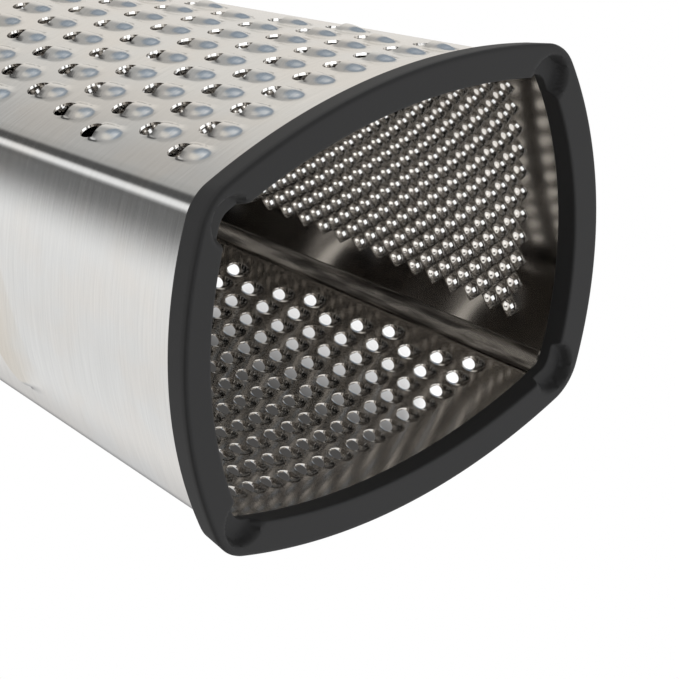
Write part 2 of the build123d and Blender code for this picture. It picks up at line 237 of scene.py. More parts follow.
class Skin:
    """Outline of eight arcs whose sizes run straight from foot to top, for the steel's skin or the foot."""

    def __init__(self, foot, top, height):
        """foot and top are (width, depth, corner) at height 0 and at height."""
        body = bpy.context.scene.grater_body
        low, high = boxes["foot_ring"]
        width, depth = high.x - low.x, high.y - low.y
        side = bow_turn(body.side_bow, depth / 2 - body.foot_corner - body.face_bow)
        face = bow_turn(body.face_bow, width / 2 - body.foot_corner - body.side_bow)
        self.half_turns = {RIGHT: side, LEFT: side, FRONT: face, BACK: face}
        self.foot, self.top, self.height = foot, top, height

    def sizes(self, height):
        return [mix(low, high, height / self.height) for low, high in zip(self.foot, self.top)]

    def corner(self, height):
        """Place of the corner arc's centre in the +X +Y quarter, and its radius."""
        width, depth, radius = self.sizes(height)
        reach_x, reach_y = width / 2 - radius, depth / 2 - radius
        side, face = math.tan(self.half_turns[RIGHT] / 2), math.tan(self.half_turns[FRONT] / 2)
        part = 1 - side * face
        return (reach_x - side * reach_y) / part, (reach_y - face * reach_x) / part, radius

    def wall(self, facing, height):
        """Reach of the wall arc's centre along its facing, and the arc's radius."""
        width, depth, _ = self.sizes(height)
        x, y, radius = self.corner(height)
        reach, chord = (width / 2, y) if facing in (RIGHT, LEFT) else (depth / 2, x)
        arc = chord / math.sin(self.half_turns[facing]) + radius
        return reach - arc, arc

    def wall_half(self, facing, height):
        """Half the body's width across a wall."""
        width, depth, _ = self.sizes(height)
        return (depth if facing in (RIGHT, LEFT) else width) / 2

    def seam(self, facing, height):
        """Distance across a wall from its middle to the seam with the corner piece."""
        turn_share = bpy.context.scene.grater_body.seam_share
        return self.wall(facing, height)[1] * math.sin(self.half_turns[facing] * turn_share)

    def on_wall(self, facing, angle, height, out=0.0):
        """Point on a wall at an angle from its middle, out from the skin along its normal."""
        reach, arc = self.wall(facing, height)
        low_reach, low_arc = self.wall(facing, 0)
        high_reach, high_arc = self.wall(facing, self.height)
        climb = (high_arc - low_arc + (high_reach - low_reach) * math.cos(angle)) / self.height
        normal = Vector((math.cos(angle), math.sin(angle), -climb)).normalized()
        place = Vector((reach + arc * math.cos(angle), arc * math.sin(angle), height)) + normal * out
        return Matrix.Rotation(math.radians(facing), 3, "Z") @ place

    def on_corner(self, quarter, angle, height, out=0.0):
        """Point on the corner after the wall that faces quarter, at an absolute angle."""
        x, y, radius = self.corner(height)
        signs = {RIGHT: (1, 1), BACK: (-1, 1), LEFT: (-1, -1), FRONT: (1, -1)}[quarter]
        ways = Vector((math.cos(angle), math.sin(angle)))
        low, high = self.corner(0), self.corner(self.height)
        shift = [end - start for start, end in zip(low, high)]
        climb = (shift[2] + shift[0] * signs[0] * ways.x + shift[1] * signs[1] * ways.y) / self.height
        normal = Vector((ways.x, ways.y, -climb)).normalized()
        place = Vector((signs[0] * x + radius * ways.x, signs[1] * y + radius * ways.y, height))
        return place + normal * out

    def round_corner(self, quarter, part, height, out=0.0):
        """Point at a share of the way round the corner after the wall that faces quarter."""
        start = math.radians(quarter) + self.half_turns[quarter]
        end = math.radians(quarter + 90) - self.half_turns[(quarter + 90) % 360]
        return self.on_corner(quarter, mix(start, end, part), height, out)


def steel_skin():
    body = bpy.context.scene.grater_body
    low, high = boxes["foot_ring"]
    foot = (high.x - low.x - 2 * body.inset, high.y - low.y - 2 * body.inset, body.foot_corner - body.inset)
    top = (body.top_width, body.top_depth, body.top_corner)
    return Skin(foot, top, boxes["grater_body"][1].z)


def foot_skin():
    """The foot's outline as an upright skin."""
    low, high = boxes["foot_ring"]
    sizes = (high.x - low.x, high.y - low.y, bpy.context.scene.grater_body.foot_corner)
    return Skin(sizes, sizes, 1.0)


def wall_limits(skin):
    """Heights of the steel's lower and upper edges."""
    return boxes["grater_body"][0].z, skin.height


# Mesh helpers


def weld(bm):
    bmesh.ops.remove_doubles(bm, verts=bm.verts[:], dist=WELD)


def sharpen(bm, degrees=56):
    """Smooth faces that meet at a crisp edge where they turn by more than so many degrees."""
    for face in bm.faces:
        face.smooth = True
    for edge in bm.edges:
        edge.smooth = len(edge.link_faces) == 2 and edge.calc_face_angle() < math.radians(degrees)


def face_up(bm):
    """Turns the faces of a flat sheet up."""
    bmesh.ops.recalc_face_normals(bm, faces=bm.faces[:])
    if sum(face.normal.z for face in bm.faces) < 0:
        bmesh.ops.reverse_faces(bm, faces=bm.faces[:])


def extrude(bm, edges):
    """Extrudes edges and returns the new vertices."""
    made = bmesh.ops.extrude_edge_only(bm, edges=edges)["geom"]
    return {item for item in made if isinstance(item, bmesh.types.BMVert)}


def to_mesh(name, bm):
    mesh = bpy.data.meshes.new(name)
    bm.to_mesh(mesh)
    bm.free()
    return mesh


def add_object(name, data):
    made = bpy.data.objects.new(name, data)
    bpy.context.scene.collection.objects.link(made)
    return made


def add_mesh(name, bm, materials):
    mesh = to_mesh(name, bm)
    for material in materials:
        mesh.materials.append(material)
    return add_object(name, mesh)


def add_piece(name, bm, materials, node):
    piece = add_mesh(name, bm, materials)
    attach(piece, "root")
    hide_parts(node)


def stamp(bm, tile, place):
    """Adds a copy of a tile's mesh at a place."""
    moved = tile.copy()
    moved.transform(Matrix.Translation(place))
    bm.from_mesh(moved)
    bpy.data.meshes.remove(moved)


def grid(across, up, width=1.0, height=1.0, centre_y=0.0):
    """Flat rectangle of faces."""
    bm = bmesh.new()
    bmesh.ops.create_grid(bm, x_segments=across, y_segments=up, size=0.5)
    for vert in bm.verts:
        vert.co = Vector((vert.co.x * width, vert.co.y * height + centre_y, 0))
    return bm


def outline(*cell):
    """Closed chain of edges round a grid."""
    bm = grid(*cell)
    inside = [vert for vert in bm.verts if not vert.is_boundary]
    bmesh.ops.delete(bm, geom=bm.faces[:], context="FACES_ONLY")
    bmesh.ops.delete(bm, geom=inside, context="VERTS")
    return bm


def steps_round(across, up, width, height, centre_y=0.0):
    """Function that counts the steps round a cell's outline from its lower right corner, counterclockwise."""
    low = centre_y - height / 2

    def count(corner):
        if corner.x > width / 2 - WELD:
            return (corner.y - low) / height * up
        if corner.y > low + height - WELD:
            return up + (0.5 - corner.x / width) * across
        if corner.x < WELD - width / 2:
            return up + across + (1 - (corner.y - low) / height) * up
        return 2 * up + across + (0.5 + corner.x / width) * across

    return count


def fill_rings(bm, travel_of, rings):
    """Fills an outline inwards with rings of faces.

    travel_of says how far round the outline a vertex lies. Each ring is a share of the way from the last one
    to the spots that its function gives for that travel.
    """
    travel = bm.verts.layers.float.new("travel")
    for vert in bm.verts:
        vert[travel] = travel_of(vert.co)
    front = bm.edges[:]
    for part, spot in rings:
        moved = extrude(bm, front)
        for vert in moved:
            vert.co = vert.co.lerp(spot(vert[travel]), part)
        front = [edge for edge in bm.edges if set(edge.verts) <= moved]
    bm.verts.layers.float.remove(travel)
    face_up(bm)


def even_rings(count, spot):
    """Evenly spaced rings as far as one spot."""
    return [(1 / (count - ring), spot) for ring in range(count)]


def tooth_middle(teeth):
    """Height of a tooth's middle above its cutting edge."""
    return (teeth.above - teeth.hood) / 2


def cell_of(teeth):
    """Cell round a tooth whose cutting edge lies on y = 0: steps across and up, pitch, rise and middle."""
    return teeth.steps_across, teeth.steps_up, teeth.pitch, teeth.rise, tooth_middle(teeth)


def round_ended(travel, width, hole):
    """Spot at a share of the way from a round-ended hole's right foot, up and round to its left one."""
    half = width / 2
    side = max(hole - half, 0)
    bend = math.pi * half
    way = travel * (2 * side + bend)
    if way <= side:
        return Vector((half, way, 0))
    if way >= side + bend:
        return Vector((-half, 2 * side + bend - way, 0))
    angle = (way - side) / half
    return Vector((half * math.cos(angle), side + (hole - side) * math.sin(angle), 0))


# Power of the curve of a coarse hood, whose section is a parabola at 1
HOOD_FULLNESS = 1.04


def coarse_rise(x, y, teeth):
    """Rise of a hood whose cutting edge lies on y = 0 and whose tail points down."""
    across = (x / (teeth.width / 2)) ** 2
    along = (y / teeth.hood) ** 2 if y < 0 else 0.0
    rise = teeth.height * max(0.0, 1 - across - along) ** HOOD_FULLNESS
    return rise * (1 - smooth(y / teeth.flank))


def coarse_tile(teeth):
    """A hood below a round-ended hole, in a cell of the rows' pitch and rise."""
    cell = cell_of(teeth)
    bm = outline(*cell)
    around = 2 * teeth.steps_up + teeth.steps_across

    def hole(travel):
        if travel <= around:
            return round_ended(travel / around, teeth.hole_width, teeth.hole)
        return Vector((((travel - around) / teeth.steps_across - 0.5) * teeth.hole_width, 0, 0))

    fill_rings(bm, steps_round(*cell), even_rings(teeth.rings, hole))
    for vert in bm.verts:
        vert.co.z = coarse_rise(vert.co.x, vert.co.y, teeth)
    return to_mesh("coarse", bm)


# Rings of a medium tooth, as shares of the way from its hole's edge to its bowl's
BOWL_RINGS = (1.14, 1, 0.85, 0.56, 0.27, 0)


def medium_tile(teeth):
    """An oval bowl with an oval hole in its upper end, in a cell of the rows' pitch and rise."""
    bm = outline(*cell_of(teeth))
    middle = tooth_middle(teeth)
    half, reach = teeth.width / 2, (teeth.hood + teeth.above) / 2
    hole_middle = teeth.above - teeth.hole / 2 - teeth.hole_land

    def angle(corner):
        return math.atan2((corner.y - middle) / teeth.rise, corner.x / teeth.pitch)

    def oval(part):
        wide, high = mix(teeth.hole_width / 2, half, part), mix(teeth.hole / 2, reach, part)
        up = mix(hole_middle, middle, part)
        return lambda way: Vector((wide * math.cos(way), up + high * math.sin(way), 0))

    fill_rings(bm, angle, [(1.0, oval(part)) for part in BOWL_RINGS])
    for vert in bm.verts:
        part = (vert.co.x / half) ** 2 + ((vert.co.y - middle) / reach) ** 2
        vert.co.z = teeth.height * max(0.0, 1 - part)
    return to_mesh("medium", bm)


def tile_field(teeth, tooth, skin, facing):
    """Staggered rows of toothed and plain cells that cover a whole wall, on the flat."""
    teeth_top = bpy.context.scene.grater_body.teeth_top
    plain = to_mesh("plain", grid(*cell_of(teeth)))
    bm = bmesh.new()
    widest = skin.wall_half(facing, 0) + teeth.pitch
    reach = math.ceil(widest / teeth.pitch) + 1
    row = -math.ceil(teeth.first / teeth.rise) - 1
    while teeth.first + (row - 1) * teeth.rise < skin.height:
        edge = teeth.first + row * teeth.rise
        room = skin.wall_half(facing, max(edge, 0)) - teeth.margin
        shift = teeth.pitch / 2 if row % 2 else 0.0
        toothed = teeth.first - WELD < edge < teeth_top
        for step in range(-reach, reach):
            across = shift + step * teeth.pitch
            tile = tooth if toothed and abs(across) < room + WELD else plain
            stamp(bm, tile, (across, edge, 0))
        row += 1
    weld(bm)
    return bm


def trim_wall(bm, skin, facing):
    """Cuts a flat field to the wall's outline: its lower and upper edge and its two slanting seams."""
    low, high = wall_limits(skin)
    foot, top = skin.seam(facing, 0), skin.seam(facing, skin.height)
    slant = Vector((skin.height, foot - top, 0)).normalized()
    cuts = [
        (Vector((0, low, 0)), Vector((0, -1, 0))),
        (Vector((0, high, 0)), Vector((0, 1, 0))),
        (Vector((foot, 0, 0)), slant),
        (Vector((-foot, 0, 0)), Vector((-slant.x, slant.y, 0))),
    ]
    for place, outwards in cuts:
        everything = bm.verts[:] + bm.edges[:] + bm.faces[:]
        bmesh.ops.bisect_plane(
            bm, geom=everything, dist=WELD, plane_co=place, plane_no=outwards, clear_outer=True
        )


def thicken(bm, inner=False):
    """Gives a skin the sheet's thickness, inwards from the outer skin or outwards from the inner one."""
    bmesh.ops.recalc_face_normals(bm, faces=bm.faces[:])
    inside = sum(face.normal.dot(Vector((*face.calc_center_median().xy, 0))) for face in bm.faces) < 0
    if inside != inner:
        bmesh.ops.reverse_faces(bm, faces=bm.faces[:])
    bmesh.ops.solidify(bm, geom=bm.faces[:], thickness=bpy.context.scene.grater_body.sheet)
    bmesh.ops.recalc_face_normals(bm, faces=bm.faces[:])


def line_inside(bm, facing):
    """Gives the faces of a wall that look into the grater the second material, the darker steel that paints
    the shade inside.
    """
    outwards = Matrix.Rotation(math.radians(facing), 3, "Z") @ Vector((1, 0, 0))
    for face in bm.faces:
        face.material_index = int(face.normal.dot(outwards) < 0)


def add_steel(name, bm, facing, inner=False):
    """Thickens a bent skin, the outer or the inner one, and adds it as a piece of the body."""
    thicken(bm, inner)
    sharpen(bm)
    line_inside(bm, facing)
    add_piece(name, bm, sheet_finishes(), "grater_body")


def add_wall(name, bm, skin, facing, inner=False):
    """Trims a flat field, bends it onto the outer or the inner skin of its wall, and adds it."""
    trim_wall(bm, skin, facing)
    base = -bpy.context.scene.grater_body.sheet if inner else 0.0
    for vert in bm.verts:
        across, height, out = vert.co
        arc = skin.wall(facing, height)[1]
        vert.co = skin.on_wall(facing, math.asin(across / arc), height, base + out)
    add_steel(name, bm, facing, inner)


# Shader nodes

WHITE = (1, 1, 1, 1)


def rgba(shade):
    """A grey or a colour as a socket takes it."""
    return (*shade, 1) if isinstance(shade, tuple) else (shade, shade, shade, 1)


def dim(tint, factor):
    """A colour as a socket takes it, darkened or lightened by a factor."""
    return (*[part * factor for part in tint], 1)


class Value:
    """A shader socket on which the usual operators add Math nodes."""

    def __init__(self, kit, socket):
        self.kit, self.socket = kit, socket

    def __add__(self, other):
        return self.kit.calculate("ADD", self, other)

    __radd__ = __add__

    def __sub__(self, other):
        return self.kit.calculate("SUBTRACT", self, other)

    def __rsub__(self, other):
        return self.kit.calculate("SUBTRACT", other, self)

    def __mul__(self, other):
        return self.kit.calculate("MULTIPLY", self, other)

    __rmul__ = __mul__

    def __truediv__(self, other):
        return self.kit.calculate("DIVIDE", self, other)

    def __pow__(self, other):
        return self.kit.calculate("POWER", self, other)


class Kit:
    """Node tree of one material or world."""

    def __init__(self, tree):
        self.tree = tree
        tree.nodes.clear()

    def add(self, kind, settings=None, inputs=None, output=0):
        """Adds a node with its settings and the values or links of its sockets, and returns one output."""
        node = self.tree.nodes.new(kind)
        for name, value in (settings or {}).items():
            setattr(node, name, value)
        for name, value in (inputs or {}).items():
            if isinstance(value, Value):
                self.tree.links.new(value.socket, node.inputs[name])
            else:
                node.inputs[name].default_value = value
        return Value(self, node.outputs[output]) if node.outputs else None

    def calculate(self, operation, *values):
        return self.add("ShaderNodeMath", {"operation": operation}, dict(enumerate(values)))

    def dot(self, first, second):
        settings = {"operation": "DOT_PRODUCT"}
        return self.add("ShaderNodeVectorMath", settings, {0: first, 1: second}, "Value")

    def ramp(self, factor, stops):
        """Greys and colours along a ramp."""
        ramp = self.add("ShaderNodeValToRGB", None, {0: factor})
        elements = ramp.socket.node.color_ramp.elements
        while len(elements) < len(stops):
            elements.new(0.5)
        for element, (place, shade) in zip(elements, stops):
            element.position = place
            element.color = rgba(shade)
        return ramp

    def noise(self, scale, detail=3.0, roughness=0.5):
        """Noise in the object's own space, stretched where there is a scale for each axis."""
        place = self.add("ShaderNodeTexCoord", output="Object")
        if isinstance(scale, tuple):
            place = self.add("ShaderNodeMapping", None, {"Vector": place, "Scale": scale})
            scale = 1.0
        inputs = {"Vector": place, "Scale": scale, "Detail": detail, "Roughness": roughness}
        return self.add("ShaderNodeTexNoise", None, inputs)

    def blend(self, factor, first, second):
        """Mix of two colours."""
        return self.add("ShaderNodeMix", {"data_type": "RGBA"}, {0: factor, 6: first, 7: second}, 2)

    def tinted(self, first, second):
        """Product of two colours."""
        settings = {"data_type": "RGBA", "blend_type": "MULTIPLY"}
        return self.add("ShaderNodeMix", settings, {0: 1.0, 6: first, 7: second}, 2)

    def step(self, value, start, end):
        """Soft step from 0 to 1."""
        inputs = {"Value": value, "From Min": start, "From Max": end}
        return self.add("ShaderNodeMapRange", {"interpolation_type": "SMOOTHSTEP"}, inputs)

    def edge(self, value, middle, softness):
        """Soft step about a middle."""
        return self.step(value, middle - softness, middle + softness)

    def bump(self, height, strength, distance):
        inputs = {"Height": height, "Strength": strength, "Distance": distance}
        return self.add("ShaderNodeBump", None, inputs)

    def finish(self, shader):
        self.add("ShaderNodeOutputMaterial", None, {"Surface": shader})

    def principled(self, inputs):
        self.finish(self.add("ShaderNodeBsdfPrincipled", None, inputs))


def new_material(name):
    material = bpy.data.materials.new(name)
    material.use_nodes = True
    return material, Kit(material.node_tree)


# Bounds of the noise between which a pattern goes from one of its colours to the other
CONTRAST = (0.38, 0.62)
# Tints of the outer steel's haze
COOL, WARM = (0.985, 0.995, 1.0), (1.0, 0.985, 0.965)


def sheet_finishes():
    """Outer finish of the sheet and its inner copy, darker and warmer as painted shade, each made once."""
    made = bpy.data.materials
    return [made.get("outer_steel") or outer_steel(), made.get("shaded_inner_steel") or shaded_inner_steel()]


def outer_steel():
    """Bright sheet with fine brush lines round the body and a faint cloudy haze."""
    tint = bpy.context.scene.grater_finishes.steel
    material, kit = new_material("outer_steel")
    lines = kit.noise((60.0, 60.0, 2600.0), detail=4.0, roughness=0.7)
    cloud = kit.noise(60.0)
    haze = kit.blend(kit.step(cloud, *CONTRAST), rgba(COOL), rgba(WARM))
    kit.principled({
        "Base Color": kit.tinted(kit.blend(lines, dim(tint, 0.86), dim(tint, 1.1)), haze),
        "Metallic": 1.0,
        "Roughness": 0.08 + lines * 0.1 + cloud * 0.03,
        "Normal": kit.bump(lines, strength=0.08, distance=0.0001),
    })
    return material


def shaded_inner_steel():
    """The same sheet inside, unbrushed, rippled by the pressing of the teeth, and darker and warmer as
    painted shade for the grater's inside.
    """
    tint = bpy.context.scene.grater_finishes.shaded_steel_inside
    material, kit = new_material("shaded_inner_steel")
    cloud = kit.noise(90.0)
    ripples = kit.noise(180.0, detail=0.0, roughness=0.4)
    kit.principled({
        "Base Color": kit.blend(cloud, dim(tint, 0.93), dim(tint, 1.07)),
        "Metallic": 1.0,
        "Roughness": 0.05 + cloud * 0.05,
        "Normal": kit.bump(ripples, strength=0.02, distance=0.0002),
    })
    return material


def lap_steel():
    """The lap of the seam, drawn lengthwise, with fine lines up the body, on the inside's darker tint that
    paints shade.
    """
    tint = bpy.context.scene.grater_finishes.shaded_steel_inside
    material, kit = new_material("lap_steel")
    lines = kit.noise((480.0, 480.0, 4.0), detail=2.0, roughness=0.6)
    kit.principled({
        "Base Color": kit.blend(kit.step(lines, *CONTRAST), dim(tint, 0.35), dim(tint, 1.2)),
        "Metallic": 1.0,
        "Roughness": 0.13 + lines * 0.12,
        "Normal": kit.bump(lines, strength=0.3, distance=0.0002),
    })
    return material


def moulded(name, tint, roughness, gloss, grain, relief):
    """Moulded rubber or plastic with a fine grain and faint dust-like mottling."""
    material, kit = new_material(name)
    pits = kit.noise(grain, detail=4.0, roughness=0.6)
    cloud = kit.noise(55.0)
    kit.principled({
        "Base Color": kit.blend(cloud, dim(tint, 0.88), dim(tint, 1.15)),
        "Roughness": roughness - 0.05 + cloud * 0.1,
        "Specular IOR Level": gloss,
        "Normal": kit.bump(pits, relief, distance=0.0002),
    })
    return material


# Operators, one for each piece or group of like pieces


class GRATER_OT_front_wall(bpy.types.Operator):
    """Wall with the coarse teeth"""

    bl_idname = "grater.front_wall"
    bl_label = "Coarse wall"

    def execute(self, context):
        skin, teeth = steel_skin(), context.scene.grater_coarse
        field = tile_field(teeth, coarse_tile(teeth), skin, FRONT)
        add_wall("front_wall", field, skin, FRONT)
        return {"FINISHED"}


class GRATER_OT_back_wall(bpy.types.Operator):
    """Wall with the medium teeth"""

    bl_idname = "grater.back_wall"
    bl_label = "Medium wall"

    def execute(self, context):
        skin, teeth = steel_skin(), context.scene.grater_medium
        field = tile_field(teeth, medium_tile(teeth), skin, BACK)
        add_wall("back_wall", field, skin, BACK, inner=True)
        return {"FINISHED"}


# Rings of a fine tooth, as shares of its dome's radius
FINE_RING_SHARES = (1.0, 0.82, 0.56)
# Depth of the four notches of a fine tooth's burst hole, as a share of the hole's radius
BURST_SHARE = 0.16


def fine_pitch(skin, height):
    """Pitch of the fine teeth at a height, and the width that they may fill."""
    teeth = bpy.context.scene.grater_fine
    room = 2 * (skin.wall_half(RIGHT, height) - teeth.margin)
    return max(room / (teeth.columns - 1), teeth.least_pitch), room


def raise_dome(bm, teeth, half):
    """Fills a diamond's outline with a dome round a burst hole."""
    inner = half * teeth.rise / math.hypot(half, teeth.rise)
    dome, hole = teeth.dome_share * inner, teeth.hole / 2
    ball = (dome**2 + teeth.height**2) / (2 * teeth.height)

    def ring(radius, notch=0.0):
        def spot(way):
            return Vector((math.cos(way), math.sin(way), 0)) * radius * (1 + notch * math.cos(4 * way))

        return spot

    rings = [(1.0, ring(dome * part)) for part in FINE_RING_SHARES] + [(1.0, ring(hole, BURST_SHARE))]
    fill_rings(bm, lambda place: math.atan2(place.y, place.x), rings)
    for vert in bm.verts:
        from_middle = min(vert.co.length, dome)
        vert.co.z = math.sqrt(ball**2 - from_middle**2) - ball + teeth.height


def diamond_tile(teeth, pitch, toothed):
    """Diamond cell of the fine teeth, as wide as the pitch and two rows high, in half pitches and rows."""
    half = pitch / 2
    bm = (outline if toothed else grid)(teeth.steps, teeth.steps)
    for vert in bm.verts:
        x, y, _ = vert.co
        vert.co = Vector(((x - y) * half, (x + y) * teeth.rise, 0))
    if toothed:
        raise_dome(bm, teeth, half)
    for vert in bm.verts:
        vert.co.x /= half
        vert.co.y /= teeth.rise
    return to_mesh("fine" if toothed else "blank", bm)


class GRATER_OT_right_wall(bpy.types.Operator):
    """Wall with the fine teeth"""

    bl_idname = "grater.right_wall"
    bl_label = "Fine wall"

    def execute(self, context):
        skin, teeth = steel_skin(), context.scene.grater_fine
        teeth_top = context.scene.grater_body.teeth_top
        bm = bmesh.new()
        rows = math.ceil(skin.height / teeth.rise) + 1
        for row in range(-math.ceil(teeth.first / teeth.rise) - 1, rows):
            height = teeth.first + row * teeth.rise
            pitch, room = fine_pitch(skin, height)
            tooth, plain = diamond_tile(teeth, pitch, True), diamond_tile(teeth, pitch, False)
            reach = math.ceil(skin.wall_half(RIGHT, 0) / pitch) + 2
            for step in range(-reach, reach + 1):
                across = 2 * step + row % 2
                fits = abs(across) * pitch / 2 < room / 2 + WELD and row >= 0 and height < teeth_top
                stamp(bm, tooth if fits else plain, (across, row, 0))
        for vert in bm.verts:
            height = teeth.first + vert.co.y * teeth.rise
            vert.co.x *= fine_pitch(skin, height)[0] / 2
            vert.co.y = height
        weld(bm)
        add_wall("right_wall", bm, skin, RIGHT, inner=True)
        return {"FINISHED"}


# Height of the plain fields below and above the slots' cells, in cells
END_CELLS = 3
# Power of the curve in which a slot's edges turn at its ends
SLOT_POWER = 6
# Power of a ramp's fall from its cutting edge, and the shares of its length at which its rings lie
RAMP_POWER = 0.85
RAMP_RINGS = (0.9, 0.6, 0.3, 0)


def slot_tile(slots, half, across, up, width):
    """One slicing slot: a wide ramp below a long opening whose ends hook down round it."""
    bm = outline(across, up, width, slots.rise)
    around = 2 * up + across

    def lip(x):
        return -slots.hook * abs(x / half) ** SLOT_POWER

    def span(x):
        return math.sqrt(max(0.0, 1 - abs(x / half) ** SLOT_POWER))

    def spot(part):
        """Spots on the cutting edge and the slot's far side at 0, and at 1 where the ramp meets the wall."""
        spread = 1 + slots.cell / half * part

        def place(travel):
            if travel <= around:
                x = half * math.cos(math.pi * travel / around)
                return Vector((x * spread, lip(x) + (slots.gap + slots.cell * part) * span(x), 0))
            x = -half * math.cos(math.pi * (travel - around) / across)
            return Vector((x * spread, lip(x) - slots.ramp * span(x) * part, 0))

        return place

    rings = even_rings(slots.rings, spot(1)) + [(1.0, spot(part)) for part in RAMP_RINGS]
    fill_rings(bm, steps_round(across, up, width, slots.rise), rings)
    for vert in bm.verts:
        x, y, _ = vert.co
        if abs(x) < half - WELD:
            below = (lip(x) - y) / (slots.ramp * span(x))
            vert.co.z = slots.height * span(x) * (1 - clamp(below) ** RAMP_POWER) if below > -WELD else 0.0
    return to_mesh("slot", bm)


class GRATER_OT_left_wall(bpy.types.Operator):
    """Wall with the slicing slots"""

    bl_idname = "grater.left_wall"
    bl_label = "Slicing wall"

    def execute(self, context):
        skin, slots = steel_skin(), context.scene.grater_slicers
        across = 2 * math.ceil((skin.seam(LEFT, 0) + slots.cell) / slots.cell)
        up = round(slots.rise / slots.cell)
        width = across * slots.cell
        bm = bmesh.new()
        for slot in range(slots.count):
            half = skin.wall_half(LEFT, slots.first + slot * slots.rise) - slots.margin
            stamp(bm, slot_tile(slots, half, across, up, width), (0, slot * slots.rise, 0))
        top = (slots.count - 0.5) * slots.rise
        end = to_mesh("end", grid(across, END_CELLS * up, width, END_CELLS * slots.rise))
        for height in (-(END_CELLS + 1) / 2 * slots.rise, top + END_CELLS / 2 * slots.rise):
            stamp(bm, end, (0, height, 0))
        weld(bm)
        for vert in bm.verts:
            below = clamp(1 + (vert.co.y + slots.rise / 2) / slots.first)
            above = clamp(1 - (vert.co.y - top) / (skin.height - slots.first - top))
            vert.co.y += slots.first + vert.co.x * math.tan(slots.slope) * below * above
        add_wall("left_wall", bm, skin, LEFT)
        return {"FINISHED"}


# Edges across a corner piece, on the one wall, the corner and the next wall, and up it
CORNER_STEPS, CORNER_ROWS = (1, 16, 1), 16
# Edges across the lap and up it
LAP_STEPS, LAP_ROWS = 16, 40


def corner_place(skin, quarter, step, height):
    """Point on a corner piece: end of one wall, corner arc, start of the next wall."""
    before, along, behind = CORNER_STEPS
    after = (quarter + 90) % 360
    turn_share = bpy.context.scene.grater_body.seam_share
    if step <= before:
        return skin.on_wall(quarter, skin.half_turns[quarter] * mix(turn_share, 1, step / before), height)
    if step <= before + along:
        return skin.round_corner(quarter, (step - before) / along, height)
    part = (step - before - along) / behind
    return skin.on_wall(after, -skin.half_turns[after] * mix(1, turn_share, part), height)


def add_lap(skin, body):
    """Strip of the sheet's far end that lines the back right corner from inside."""
    low, high = boxes["foot_ring"][1].z + body.lap_gap, boxes["top_cap"][0].z
    bm = grid(LAP_STEPS, LAP_ROWS)
    for vert in bm.verts:
        part = vert.co.y + 0.5
        free = mix(body.lap_foot, body.lap_top, part)
        angle = mix(skin.half_turns[RIGHT], free, 0.5 - vert.co.x)
        vert.co = skin.on_corner(RIGHT, angle, mix(low, high, part), -body.sheet - body.lap_gap)
    thicken(bm)
    sharpen(bm)
    add_piece("seam_lap", bm, [lap_steel()], "grater_body")


class GRATER_OT_corners(bpy.types.Operator):
    """Four rounded corners of the steel, and the lap inside the back right one"""

    bl_idname = "grater.corners"
    bl_label = "Corners and lap"

    def execute(self, context):
        skin = steel_skin()
        names = {RIGHT: "back_right", BACK: "back_left", LEFT: "front_left", FRONT: "front_right"}
        for quarter, name in names.items():
            bm = grid(sum(CORNER_STEPS), CORNER_ROWS)
            for vert in bm.verts:
                step = round((vert.co.x + 0.5) * sum(CORNER_STEPS))
                vert.co = corner_place(skin, quarter, step, mix(*wall_limits(skin), vert.co.y + 0.5))
            add_steel(f"corner_{name}", bm, quarter + 45)
        add_lap(skin, context.scene.grater_body)
        return {"FINISHED"}


# Steps of the foot ring's section round an outer edge, round a lip's edge and along the underside
EDGE_STEPS, LIP_STEPS, UNDER_STEPS = 4, 3, 14
# Shares of the height at which its outer face and its lip have spots
OUTER_SHARES = (0.25, 0.5, 0.75)
LIP_SHARES = (0.7, 0.55, 0.4, 0.25)
# Radius of the lip's edges as a share of the outer edges'
LIP_EDGE_SHARE = 0.6


def quarter_round(middle, radius, start, steps):
    """Places on a quarter turn round a middle, clockwise from a start in degrees."""
    ways = [math.radians(start - 90 * step / steps) for step in range(steps + 1)]
    return [(middle[0] + radius * math.cos(way), middle[1] + radius * math.sin(way)) for way in ways]


def foot_profile(foot):
    """Places round the foot ring's section, as distance inside its outline and height."""
    body = bpy.context.scene.grater_body
    top = boxes["foot_ring"][1].z
    edge, lip = foot.edge, foot.edge * LIP_EDGE_SHARE
    outer = body.inset - foot.slack
    inner = outer + body.sheet + 2 * foot.slack
    return [
        *quarter_round((edge, edge), edge, 270, EDGE_STEPS),
        *[(foot.lean * part, mix(edge, top - edge, part)) for part in OUTER_SHARES],
        *quarter_round((foot.lean + edge, top - edge), edge, 180, EDGE_STEPS),
        (outer, top),
        (outer, foot.floor),
        (inner, foot.floor),
        (inner, foot.lip_height),
        *quarter_round((foot.land - lip, foot.lip_height - lip), lip, 90, LIP_STEPS),
        *[(foot.land, foot.lip_height * part) for part in LIP_SHARES],
        *quarter_round((foot.land - lip, lip), lip, 0, LIP_STEPS),
        *[(mix(foot.land - lip, edge, step / UNDER_STEPS), 0.0) for step in range(1, UNDER_STEPS)],
    ]


def ring_steps(foot):
    """Steps round the foot's outline."""
    return 4 * (foot.steps_side + foot.steps_corner)


def ring_place(skin, foot, step, out=0.0):
    """Point at a step round the foot's outline of sides and corners, out from it, at height 0."""
    side, local = divmod(step, foot.steps_side + foot.steps_corner)
    facing = (RIGHT, BACK, LEFT, FRONT)[side]
    if local <= foot.steps_side:
        return skin.on_wall(facing, skin.half_turns[facing] * (2 * local / foot.steps_side - 1), 0.0, out)
    return skin.round_corner(facing, (local - foot.steps_side) / foot.steps_corner, 0.0, out)


